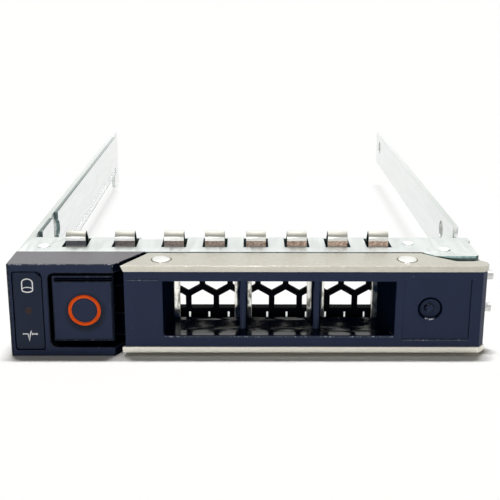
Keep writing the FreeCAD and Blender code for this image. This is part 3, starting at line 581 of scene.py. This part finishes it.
# ---------------------------------------------------------------- steel frame and rails
def steel_frame():
    """The folded sheet: bright faces, raw cut edges, and painted shade on the front faces where the plate
    meets the handle.
    """
    obj = dress("frame", mats=[ZINC, RAIL, RAW, RIM, SHADE, GREEN], whole=False)
    top = corners("frame")[1].z
    pins = [centre_of(node) for node in ("hinge_pin", "strip_rivet", "bezel_rivet")]
    pin_clear = 1.6
    ear_from = 27  # the hinge ear, whose front edge is bare
    slots_to = 23
    step_y = (15, 24)  # the step down from the plate to each rail

    def rule(at, normal):
        faces_front = normal.y < -0.5
        # the plate's front faces: the ear's is a bare cut edge, the others take painted shade
        if faces_front and at.y < PLATE_Y[0] and at.z > 2:
            return RAW if at.x > ear_from else SHADE
        if faces_front and step_y[0] < at.y < step_y[1]:
            return GREEN if at.x < 0 else RAIL
        in_slots = PLATE_Y[0] < at.y < PLATE_Y[1] and at.x < slots_to and at.z > 13
        slot_wall = in_slots and abs(normal.z) < 0.5 and normal.y < 0.5
        # the step's floor takes the dark raw colour as painted shade
        step_floor = 15.5 < at.y < 21 and 8 < at.z < top - 0.5 and normal.z > 0.7
        if slot_wall or step_floor:
            return RAW
        if at.y > RAILS_FROM and normal.z > 0.7 and at.z > top - NEAR:
            return RIM
        return RAIL if at.y > RAILS_FROM and abs(normal.x) > 0.7 else ZINC

    def share(at, along):
        on_top = at.z > top - NEAR
        if min(math.hypot(at.x - pin.x, at.y - pin.y) for pin in pins) < pin_clear:
            return 0
        if at.y > RAILS_FROM:
            return 1 if on_top and abs(along.y) > 0.95 else 0
        plate_front = on_top and at.y < 12 and abs(along.x) > 0.5 and not 8 < at.y < 10
        return 0 if plate_front else 1

    paint(obj, rule)
    soften(obj, 0.10, 2, share=share)


def strip_inside():
    obj = dress("inner_strip", mats=[RAIL, GREEN, RAW_FAR])
    paint(obj, lambda at, normal: GREEN if normal.y < -0.5 else RAW_FAR if normal.z > 0.7 else RAIL)
    soften(obj, 0.05, 2, share=lambda at, along: 0 if abs(along.y) > 0.9 else 1)


# ---------------------------------------------------------------- contact fingers
def finger_line():
    """The middle line of a finger: a straight front wall, a round crest and a sloping back."""
    low, high = corners("finger_strip")
    front = low.y + 1.0 + RIBBON / 2
    back = front + 2.5
    foot = low.z + RIBBON / 2
    crest = (front + CREST_RADIUS, high.z - RIBBON / 2 - CREST_RADIUS)
    return ([(front, foot)] + arc(crest, CREST_RADIUS, 180, 54, 14)
            + [(back - 0.1, 15.3), (back, 14.9), (back, foot)])


def ribbon(line, thick):
    """The outline of a strip that follows a line: its outer side, then its inner side back."""
    outer, inner = [], []
    for i, point in enumerate(line):
        before, after = line[max(i - 1, 0)], line[min(i + 1, len(line) - 1)]
        along = Vector((after[0] - before[0], after[1] - before[1])).normalized()
        normal = Vector((-along.y, along.x)) * thick / 2
        outer.append((point[0] + normal.x, point[1] + normal.y))
        inner.append((point[0] - normal.x, point[1] - normal.y))
    return outer + inner[::-1]


def fingers():
    low, high = corners("finger_strip")
    outline = rounded(low, high, 0.4)
    band = to_mesh(extrude(outline, "Z", low.z, low.z + RIBBON - 0.01), "band")
    strip = add("finger_band", band, [SPRING, SHADE], "caddy")
    # the band's upper face, seen through the slots, takes painted shade
    paint(strip, lambda at, normal: SHADE if normal.z > 0.5 else SPRING)
    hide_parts("finger_strip")
    soften(strip, 0.04, 1)
    line = finger_line()
    shape = ribbon(line, RIBBON)
    ends = 2
    outer = len(line) - 1
    for index, x in enumerate(FINGERS_X):
        mesh = to_mesh(extrude(shape, "X", x - FINGER_WIDE / 2, x + FINGER_WIDE / 2), "finger")
        obj = add(f"finger_{index + 1}", mesh, [FINGER, RAW, SHADE], "caddy")
        for number, face in enumerate(obj.data.polygons):
            # the prism's two ends come first, then the outer side of the line; the inner side takes painted
            # shade
            face.material_index = 1 if number < ends else 0 if number < ends + outer else 2
        soften(obj, 0.04, 2, 40)
        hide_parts("finger_strip")


# ---------------------------------------------------------------- front left: bezel, panel, button
def bezel():
    """The plastic block: painted highlight flecks on its front edge, painted sheen on its top, a deep
    pocket for the button in painted shade, a groove round the panel.
    """
    obj = dress("bezel", mats=[NAVY, NAVY_SHEEN_TOP, NAVY_EDGE, NAVY_SHADE])
    low, high = corners("bezel")
    front = low.y + NEAR
    panel_side = -30.6  # the panel lies left of this, the button's pocket right of it
    tongue_from = 6.6

    def rule(at, normal):
        # upward faces take the painted sheen; the pocket takes painted shade
        if normal.z > 0.7 and at.z > 14:
            return NAVY_SHEEN_TOP
        in_pocket = at.y > 0.8 and at.x > panel_side - 0.3 and 1.2 < at.z < 13.8
        return NAVY_SHADE if in_pocket else NAVY

    def share(at, along):
        if abs(along.y) > 0.9 and panel_side + 0.1 < at.x < -20 and 1 < at.z < 14 and at.y < 4:
            return 1.0  # the pocket's corners
        if at.y > tongue_from:
            return 0
        if at.z > high.z - NEAR:
            return 0.55 if at.y < front else 0.12
        if at.y < front and at.x < low.x + 0.2 and abs(along.z) > 0.9:
            return 0.5
        if at.y < front and at.x > panel_side:
            return 0.14
        return 0 if at.x < panel_side and at.z > 0.5 else 0.2

    paint(obj, rule)
    # the rounded edges take painted highlight flecks
    soften(obj, 0.9, 4, share=share, edge=NAVY_EDGE, clamp=False)
    bake(obj)
    carve(obj, [to_mesh(extrude(panel_outline(0.16), "Y", -0.5, 0.62), "groove")])


def panel_outline(grow):
    """The panel's face: rounded corners, and a cut corner at the upper right."""
    low, high = corners("window_panel")
    x0, z0, x1, z1 = low.x - grow, low.z - grow, high.x + grow, high.z + grow
    small, cut = 0.45, 0.85
    return (arc((x0 + small, z0 + small), small, 180, 270, 5)
            + arc((x1 - small, z0 + small), small, 270, 360, 5)
            + [(x1, z1 - cut), (x1 - cut, z1)]
            + arc((x0 + small, z1 - small), small, 90, 180, 5))


def panel():
    low, high = corners("window_panel")
    mesh = to_mesh(extrude(panel_outline(0.0), "Y", low.y, high.y - 0.05), "panel")
    obj = add("panel_face", mesh, [PANEL], "caddy")
    soften(obj, 0.10, 2, 20)
    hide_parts("window_panel")
    marks((low.x + high.x) / 2, low.y)
    dome = [(0, -0.3), (0.62, -0.3), (0.62, -0.02), (0.5, 0.02), (0.25, 0.04), (0, 0.045)]
    lens = centre_of("lamp_lens")
    lamp = add("lamp_dome", lathe("lamp", dome, (lens.x, low.y, lens.z), "-Y"), [LAMP], "caddy")
    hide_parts("lamp_lens")


def stroke(name, points, width, y, closed=False):
    """A thin raised mark that follows points on the front, drawn with an even width."""
    flatter = 0.25
    curve = bpy.data.curves.new(name, "CURVE")
    curve.dimensions = "3D"
    curve.bevel_depth = width / 2 * MM
    curve.bevel_resolution = 2
    spline = curve.splines.new("POLY")
    spline.points.add(len(points) - 1)
    for item, (x, z) in zip(spline.points, points):
        item.co = (x * MM, y * MM, z * MM, 1)
    spline.use_cyclic_u = closed
    obj = bpy.data.objects.new(name, curve)
    bpy.context.scene.collection.objects.link(obj)
    graph = bpy.context.evaluated_depsgraph_get()
    mesh = bpy.data.meshes.new_from_object(obj.evaluated_get(graph))
    bpy.data.objects.remove(obj)
    for vert in mesh.vertices:
        vert.co.y = y * MM + (vert.co.y - y * MM) * flatter
    for face in mesh.polygons:
        face.use_smooth = True
    add(name, mesh, [WHITE], "caddy")


def flattened(points, level, much):
    """Points drawn nearer to a level, to turn a round arc into an oval one."""
    return [(x, level + (z - level) * much) for x, z in points]


def marks(x, y):
    """Two plain status marks: a store drum and a trace of activity."""
    wide, foot, shoulder = 0.80, 10.68, 11.81
    drum = flattened(arc((x, shoulder), wide, 0, 180, 12), shoulder, 0.75)
    drum += flattened(arc((x, foot), wide, 180, 360, 12), foot, 0.45)
    stroke("mark_drum", drum, 0.18, y, True)
    rim = flattened(arc((x, foot), wide, 0, 180, 12), foot, 0.45)
    stroke("mark_drum_rim", [(px, pz + 0.05) for px, pz in rim], 0.14, y)
    level = 3.6
    trace = [(-1.1, 0), (-0.32, 0), (-0.12, -1.15), (0.02, -0.1), (0.2, 0.52), (0.34, -0.12), (0.5, 0),
             (1.0, 0)]
    stroke("mark_trace", [(x + dx, level + dz) for dx, dz in trace], 0.20, y)
    dot = [(0, 0), (0.17, 0), (0.15, 0.04), (0, 0.05)]
    add("mark_dot", lathe("dot", dot, (x + 1.05, y + 0.01, level), "-Y", 20), [WHITE], "caddy")


def button():
    """The release button: a groove over its face, an orange ring round a shallow boss, a painted shadow
    under the ring and painted shade on its sides.
    """
    low, high = corners("release_button")
    front = low.y + NEAR
    obj = dress("release_button", mats=[NAVY_RING_SHADOW, NAVY_EDGE, NAVY_SHADE])
    groove_foot = high.z - 0.75
    groove_wider = 0.18
    for vert in obj.data.vertices:
        at = vert.co / MM
        if at.y < low.y + 1.0 and abs(at.z - groove_foot) < 0.05:
            vert.co.z -= groove_wider * MM
    # the button's sides take painted shade, its face the painted shadow under the ring
    paint(obj, lambda at, normal: NAVY_SHADE if at.y > low.y + 0.25 else NAVY_RING_SHADOW)

    def share(at, along):
        if at.y < front and at.x > high.x - 0.3 and abs(along.z) > 0.9:
            return 1.0
        return 0.22 if at.y < front else 0.1

    # the rounded edges take painted highlight flecks
    soften(obj, 0.75, 3, share=share, edge=NAVY_EDGE, clamp=False)
    boss = [(0, -0.4), (3.25, -0.4), (3.1, -0.02), (2.85, 0.0), (2.6, -0.02), (1.85, -0.02), (1.2, -0.005),
            (0, 0)]
    middle = (RING.x, low.y, RING.z)
    face = add("button_boss", lathe("boss", boss, middle, "-Y", 72), [NAVY_RING_SHADOW], "button")
    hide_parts("release_button")
    ring_radius, half_wide, half_thick, sunk = 2.2, 0.30, 0.19, 0.10
    section = [(ring_radius + half_wide * math.cos(a), half_thick * math.sin(a) - sunk)
               for a in (math.tau * i / 16 for i in range(17))]
    ring = add("ring", lathe("ring", section, middle, "-Y", 96), [ORANGE], "button")
    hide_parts("button_ring")


# ---------------------------------------------------------------- handle
def handle_skin():
    """The folded channel, with a fine joint round each rivet and the streaked web behind the vents."""
    low, high = corners("handle_skin")
    obj = dress("handle_skin", mats=[NICKEL, NICKEL_EDGE, WEB])
    lean = 0.45  # how far the lower corner of the upper flange's left end leans in
    for vert in obj.data.vertices:
        at = vert.co / MM
        if at.x < low.x + 0.3 and at.y < 0.3 and 13 < at.z < 14:
            vert.co.x += lean * MM

    def rule(at, normal):
        return WEB if 5 < at.y < 6 and -13 < at.x < 21 and abs(normal.z) < 0.5 else NICKEL

    def share(at, along):
        if any(math.hypot(at.x - x, at.y - RIVET_Y) < 1.8 for x in RIVETS_X):
            return 0
        return 0.25 if at.z > high.z - NEAR and at.y > 6.2 else 1

    paint(obj, rule)
    # the rounded edges take painted highlight flecks
    soften(obj, 0.26, 3, share=share, edge=NICKEL_EDGE)
    bake(obj)
    pit = [(0, -0.3), (RIVET_PIT, -0.3), (RIVET_PIT, 0.2), (0, 0.2)]
    carve(obj, [lathe("pit", pit, (x, RIVET_Y, high.z), "Z", 64) for x in RIVETS_X])


def rivets():
    top = corners("handle_skin")[1].z
    head = [(0, -0.3), (1.40, -0.3), (1.44, 0.03), (1.38, 0.12), (1.15, 0.17), (0.6, 0.20), (0, 0.21)]
    for index, x in enumerate(RIVETS_X):
        mesh = lathe("rivet", head, (x, RIVET_Y, top), "Z", 64)
        obj = add(f"rivet_{index + 1}", mesh, [BRIGHT], "handle")
        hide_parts("handle_rivets")


def insert():
    """The handle's plastic face: three vents with glossy floors, and a square recess with a dimple, with
    painted glints on upward faces and painted shade on walls.
    """
    obj = dress("handle_insert", mats=[NAVY, NAVY_GLOSS, NAVY_SHADE, NAVY_GLINT], whole=False)

    def on_pillar(at):
        return min(abs(at.x - x) for x in PILLARS_X) < PILLAR_HALF

    def rule(at, normal):
        out = math.hypot(at.x - DIMPLE[0], at.z - DIMPLE[1])
        side_on = abs(normal.y) < 0.5
        aside = abs(at.x - RECESS_MIDDLE[0]) / RECESS_HALF[0]
        aloft = abs(at.z - RECESS_MIDDLE[1]) / RECESS_HALF[1]
        in_recess = max(aside, aloft) < 1 and at.y < 0.5
        # the recess's upward steps take a painted glint, its faces that look left painted shade
        if in_recess and side_on and out > DIMPLE_RADIUS + 0.1:
            return NAVY_GLINT if normal.z > 0.7 else NAVY_SHADE if normal.x < -0.7 else NAVY
        # the dimple's wall: a painted glint where it faces up, painted shade elsewhere
        if out < DIMPLE_RADIUS and side_on:
            return NAVY_GLINT if normal.z > 0.8 else NAVY_SHADE
        in_vents = VENTS_X[0] < at.x < VENTS_X[1] and VENTS_Z[0] < at.z < VENTS_Z[1] and at.y > 0.3
        if not in_vents:
            return NAVY
        if normal.z > 0.6:
            return NAVY_GLOSS
        # vent walls facing out of the light take painted shade
        in_shade = abs(normal.x) > 0.7 if on_pillar(at) else abs(normal.y) < 0.7
        return NAVY_SHADE if in_shade else NAVY

    def share(at, along):
        if on_pillar(at) and abs(along.z) > 0.9:
            return 1
        return 0 if at.y > 1.2 else 0.25

    paint(obj, rule)
    soften(obj, 0.45, 3, share=share, clamp=False)

    # thin ridges with painted glints: left end, right end, height and front of each
    glint_lines = ((-18.3, -13.6, 12.2, 0.07), (-12.7, 22.0, 3.13, 0.07), (23.5, 33.3, 2.55, 0.09))
    for index, (left, right, z, front) in enumerate(glint_lines):
        section = [(front, z - 0.06), (front, z + 0.06), (0.20, z + 0.10), (0.20, z - 0.10)]
        ridge = to_mesh(extrude(section, "X", left, right), "line")
        add(f"glint_line_{index}", ridge, [NAVY_GLINT], "handle")

    # the raised rim of the dimple, with a painted glint at its foot
    lip = [(1.55, -0.15), (1.55, 0.02), (1.66, 0.09), (1.80, 0.06), (1.86, -0.02), (1.86, -0.15),
           (1.55, -0.15)]
    rim = add("dimple_lip", lathe("lip", lip, (DIMPLE[0] + 0.12, 0.35, DIMPLE[1]), "-Y", 64),
              [NAVY_SHADE, NAVY_GLINT], "handle")

    def glint(at, normal):
        return NAVY_GLINT if at.z < DIMPLE[1] - 1.4 and abs(at.x - DIMPLE[0] - 0.1) < 0.72 else NAVY_SHADE

    paint(rim, glint)


# ---------------------------------------------------------------- small pins
def pin(node, mats, flat=0.0, heads=1):
    """A turned pin on a node's own axis, with a low domed head, or a dished one, at one or both ends."""
    low, high = corners(node)
    head = (high.x - low.x) / 2
    thick = 0.20
    shaft = head * 0.55
    dome = [(head, high.z - thick), (head * 0.94, high.z - 0.09), (head * 0.7, high.z - 0.02),
            (flat, high.z)]
    if flat:
        dome.append((0, high.z - 0.12))
    foot = [(shaft, low.z)]
    if heads == 2:
        foot = [(head * 0.9, low.z), (head, low.z + 0.1), (head, low.z + thick), (shaft, low.z + thick)]
    profile = [(0, low.z)] + foot + [(shaft, high.z - thick)] + dome
    middle = centre_of(node)
    mesh = lathe(node, profile, (middle.x, middle.y, 0), "Z")
    obj = add(node + "_turned", mesh, mats, BODY_OF[node])
    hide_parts(node)
    return obj


def small_heads():
    """Rivet heads that hold the frame and the hinge pin, with painted shade on the near right of the pin's
    head.
    """
    pin("bezel_rivet", [HEAD])
    pin("strip_rivet", [HEAD], flat=0.5)
    obj = pin("hinge_pin", [HEAD, RAW], heads=2)
    middle = centre_of("hinge_pin")
    top = corners("hinge_pin")[1].z

    # the side of the head on its near right takes the dark raw colour as painted shade
    def rule(at, normal):
        turn = math.degrees(math.atan2(at.y - middle.y, at.x - middle.x))
        return RAW if at.z > top - 0.3 and -62 < turn < -22 and abs(normal.z) < 0.8 else HEAD

    paint(obj, rule)


for node, obj in NODES.items():
    obj.data.materials.clear()
    obj.data.materials.append(PIP if node == "end_pips" else SLOTS[SLOT_OF[node]])

steel_frame()
strip_inside()
fingers()
bezel()
panel()
button()
handle_skin()
rivets()
insert()
small_heads()
dress("grille", 0.05, 1, whole=False)
dress("latch_lever", 0.20, 2)
dress("light_pipe", 0.12, 2)


# ---------------------------------------------------------------- room and light
WHITE_LIGHT = (1.0, 1.0, 1.0)


def light(kind, name, at, energy):
    """A light that shines from a place, in metres, on the origin."""
    data = bpy.data.lights.new(name, kind)
    data.energy = energy
    obj = bpy.data.objects.new(name, data)
    bpy.context.scene.collection.objects.link(obj)
    obj.location = at
    obj.rotation_mode = "QUATERNION"
    obj.rotation_quaternion = (-Vector(at)).to_track_quat("-Z", "Y")
    return data


def lights():
    """A high source a little behind, so that shadows fall short and forward, and a low one in front.

    The high source is split in four, side by side, which softens the ends of its shadow.
    """
    for lean in (-0.09, -0.03, 0.03, 0.09):
        light("SUN", "sun", (lean, 0.14, 1.0), 0.73).angle = math.radians(3.6)
    front = light("AREA", "front", (-0.15, -0.70, 0.07), 0.74)
    front.shape = "RECTANGLE"
    front.size, front.size_y = 0.22, 0.08


def seen(tree):
    """1 for camera, mirror and glass rays, 0 for the light that falls on things."""
    path = tree.nodes.new("ShaderNodeLightPath")
    both = maths(tree, "MAXIMUM", path.outputs["Is Camera Ray"], path.outputs["Is Glossy Ray"])
    return maths(tree, "MAXIMUM", both, path.outputs["Is Transmission Ray"])


def floor():
    """A pale plain floor that turns into the white backdrop behind the object's front."""
    size = 3.0
    mesh = bpy.data.meshes.new("floor")
    mesh.from_pydata([(-size, -size, 0), (size, -size, 0), (size, size, 0), (-size, size, 0)], [],
                     [(0, 1, 2, 3)])
    obj = bpy.data.objects.new("floor", mesh)
    bpy.context.scene.collection.objects.link(obj)
    mat, tree, shader = material("floor", (0.97, 0.965, 0.955), 0.9)
    shader.inputs["Specular IOR Level"].default_value = 0.0
    glow = tree.nodes.new("ShaderNodeEmission")
    glow.inputs["Color"].default_value = (*WHITE_LIGHT, 1)
    both = tree.nodes.new("ShaderNodeMixShader")
    lit = across(tree, "Y", 4, 30, 0.0, 0.78)
    tree.links.new(times(tree, seen(tree), lit), both.inputs[0])
    tree.links.new(shader.outputs[0], both.inputs[1])
    tree.links.new(glow.outputs[0], both.inputs[2])
    tree.links.new(both.outputs[0], tree.nodes["Material Output"].inputs["Surface"])
    mesh.materials.append(mat)


def world():
    """White behind the object, grey in front of it, and a soft fill for the light that falls on it."""
    data = bpy.data.worlds.new("studio")
    bpy.context.scene.world = data
    data.use_nodes = True
    tree = data.node_tree
    split = tree.nodes.new("ShaderNodeSeparateXYZ")
    tree.links.new(tree.nodes.new("ShaderNodeTexCoord").outputs["Generated"], split.inputs[0])
    backdrop = mix(tree, span(tree, split.outputs["Y"], -0.9, -0.1), (0.62, 0.62, 0.62), WHITE_LIGHT)
    fill = mix(tree, span(tree, split.outputs["Z"], -0.2, 0.9), (0.084, 0.080, 0.066), (0.13, 0.127, 0.115))
    back = tree.nodes["Background"]
    tree.links.new(mix(tree, seen(tree), fill, backdrop), back.inputs["Color"])


def camera():
    """The photograph's view, from its place, turn, lens and shift."""
    at_mm = (-0.58, -125.29, 57.25)
    yaw, pitch, roll = (math.radians(a) for a in (0.342, 14.579, 0.175))
    data = bpy.data.cameras.new("camera")
    data.sensor_width = 36
    data.lens = 63.85
    data.shift_y = -0.10
    data.clip_start, data.clip_end = 0.01, 10
    obj = bpy.data.objects.new("camera", data)
    bpy.context.scene.collection.objects.link(obj)
    ahead = Vector((math.sin(yaw) * math.cos(pitch), math.cos(yaw) * math.cos(pitch), -math.sin(pitch)))
    level = Vector((math.cos(yaw), -math.sin(yaw), 0))
    above = level.cross(ahead)
    right = level * math.cos(roll) + above * math.sin(roll)
    up = right.cross(ahead)
    turn = Matrix((right, up, -ahead)).transposed().to_4x4()
    obj.matrix_world = Matrix.Translation(Vector(at_mm) * MM) @ turn
    bpy.context.scene.camera = obj


floor()
world()
camera()
lights()
bpy.context.scene.view_settings.view_transform = "Standard"
